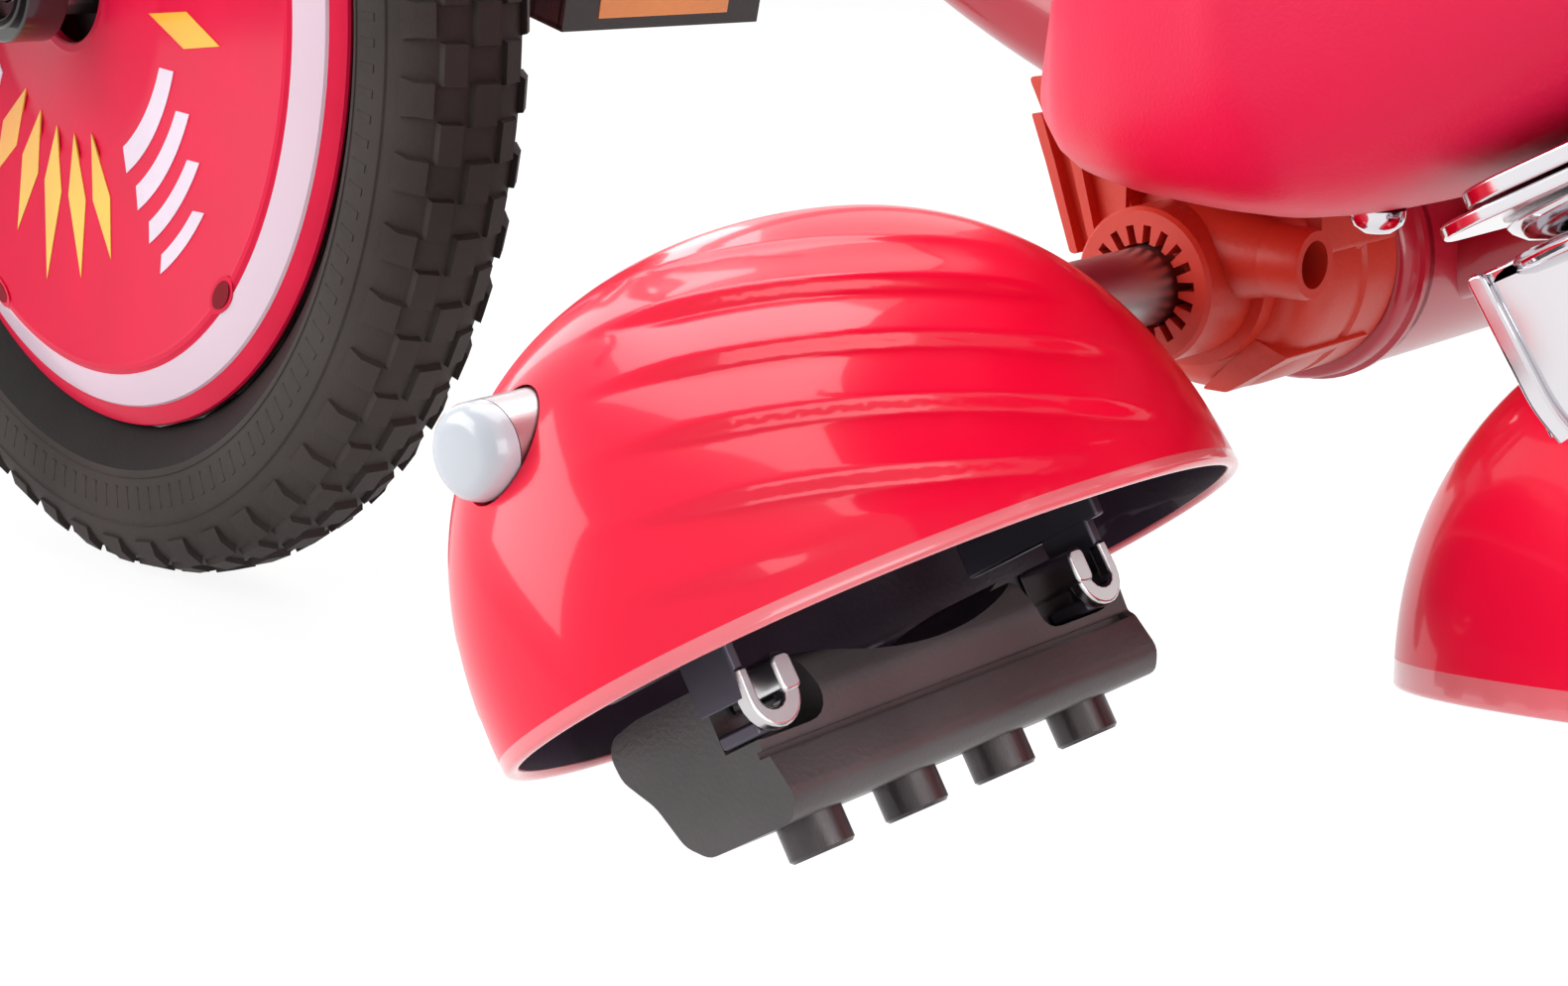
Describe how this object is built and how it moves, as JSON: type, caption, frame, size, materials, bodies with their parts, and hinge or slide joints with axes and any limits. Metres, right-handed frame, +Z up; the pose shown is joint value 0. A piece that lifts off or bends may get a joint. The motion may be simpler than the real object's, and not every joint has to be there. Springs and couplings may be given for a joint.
{
  "type": "drift trike",
  "caption": "Child's drift trike with a pedal front wheel, low bucket seat, inclined swivel casters and sprung spark bars under palm domes.",
  "frame": {"origin": "on the floor under the middle of the outline box", "axes": "+Y forward towards the front wheel, +X to the rider's right, +Z up"},
  "size_m": [0.6292, 1.0076, 0.7289],
  "materials": {
    "tyre": "matte moulded rubber with a chunky tread",
    "red_cover": "glossy red moulded disc",
    "dome_red": "high gloss red moulded plastic",
    "seat_red": "satin red moulded plastic with a fine grain",
    "frame_red": "glossy crimson powder coat",
    "black_steel": "satin black powder coat",
    "steel": "satin zinc-plated steel",
    "chrome": "bright chrome plate",
    "housing_orange": "satin orange-red moulded plastic",
    "black_plastic": "satin black moulded plastic",
    "grip": "ribbed soft rubber",
    "flint": "dark sintered spark rod"
  },
  "bodies": {
    "frame_body": {"frame": "frame_red", "headset_lower_cup": "steel", "headset_upper_cup": "steel", "seat_shell": "seat_red", "seat_bolt_left": "steel", "seat_bolt_right": "steel", "bar_housing_left": "housing_orange", "bar_bush_left": "black_plastic", "return_spring_left": "steel", "caster_plate_left": "chrome", "bar_housing_right": "housing_orange", "bar_bush_right": "black_plastic", "return_spring_right": "steel", "caster_plate_right": "chrome"},
    "steering": {"fork": "black_steel", "stem": "black_steel", "stem_cap": "black_plastic", "fork_top_nut": "steel", "handlebar": "black_steel", "grip_left": "grip", "grip_right": "grip", "wheel_bearing_left": "steel", "wheel_bearing_right": "steel"},
    "front_wheel": {"front_tyre": "tyre", "front_rim": "black_steel", "hub_and_spokes": "steel", "front_axle": "steel", "wheel_cover_left": "red_cover", "wheel_cover_right": "red_cover", "crank_left": "black_steel", "crank_right": "black_steel", "crank_bolt_left": "steel", "crank_bolt_right": "steel", "pedal_spindle_left": "steel", "pedal_spindle_right": "steel"},
    "pedal_block_left": {"pedal_left": "black_plastic"},
    "spark_left": {"spark_bar_left": "steel", "bar_end_cap_left": "steel", "palm_dome_left": "dome_red", "pad_holder_left": "steel", "spark_cartridge_left": "black_plastic", "spark_flints_left": "flint"},
    "caster_left": {"caster_fork_left": "chrome", "caster_axle_left": "steel", "caster_fender_left": "dome_red"},
    "caster_wheel_left": {"caster_tyre_left": "tyre", "caster_core_left": "black_plastic"},
    "pedal_block_right": {"pedal_right": "black_plastic"},
    "spark_right": {"spark_bar_right": "steel", "bar_end_cap_right": "steel", "palm_dome_right": "dome_red", "pad_holder_right": "steel", "spark_cartridge_right": "black_plastic", "spark_flints_right": "flint"},
    "caster_right": {"caster_fork_right": "chrome", "caster_axle_right": "steel", "caster_fender_right": "dome_red"},
    "caster_wheel_right": {"caster_tyre_right": "tyre", "caster_core_right": "black_plastic"}
  },
  "joints": [
    {"name": "steer", "type": "hinge", "parent": "frame_body", "child": "steering", "pos_m": [0, 0.28027, 0.19857], "axis": [0, -0.2079, 0.9781], "range_deg": [-37.4, 52.6]},
    {"name": "wheel_spin", "type": "hinge", "parent": "steering", "child": "front_wheel", "pos_m": [0.00291, 0.3016, 0.2031], "axis": [0.9912, -0.1294, -0.0275], "continuous": true},
    {"name": "pedal_spin_left", "type": "hinge", "parent": "front_wheel", "child": "pedal_block_left", "pos_m": [-0.08766, 0.42629, 0.20191], "axis": [0.9912, -0.1294, -0.0275], "continuous": true},
    {"name": "pedal_spin_right", "type": "hinge", "parent": "front_wheel", "child": "pedal_block_right", "pos_m": [0.09348, 0.17691, 0.2043], "axis": [0.9912, -0.1294, -0.0275], "continuous": true},
    {"name": "spark_press_left", "type": "hinge", "parent": "frame_body", "child": "spark_left", "pos_m": [-0.2276, -0.19321, 0.17514], "axis": [1, 0, 0], "range_deg": [0, 30], "stiffness_Nm_per_rad": 4, "springref_deg": -8.59},
    {"name": "caster_swivel_left", "type": "hinge", "parent": "frame_body", "child": "caster_left", "pos_m": [-0.152, -0.31221, 0.21314], "axis": [0, 0.4695, 0.8829], "continuous": true},
    {"name": "caster_spin_left", "type": "hinge", "parent": "caster_left", "child": "caster_wheel_left", "pos_m": [-0.152, -0.43249, 0.07214], "axis": [1, 0, 0], "continuous": true},
    {"name": "spark_press_right", "type": "hinge", "parent": "frame_body", "child": "spark_right", "pos_m": [0.2276, -0.19321, 0.17514], "axis": [1, 0, 0], "range_deg": [0, 30], "stiffness_Nm_per_rad": 4, "springref_deg": -8.59},
    {"name": "caster_swivel_right", "type": "hinge", "parent": "frame_body", "child": "caster_right", "pos_m": [0.152, -0.31221, 0.21314], "axis": [0, 0.4695, 0.8829], "continuous": true},
    {"name": "caster_spin_right", "type": "hinge", "parent": "caster_right", "child": "caster_wheel_right", "pos_m": [0.152, -0.43249, 0.07214], "axis": [1, 0, 0], "continuous": true}
  ]
}
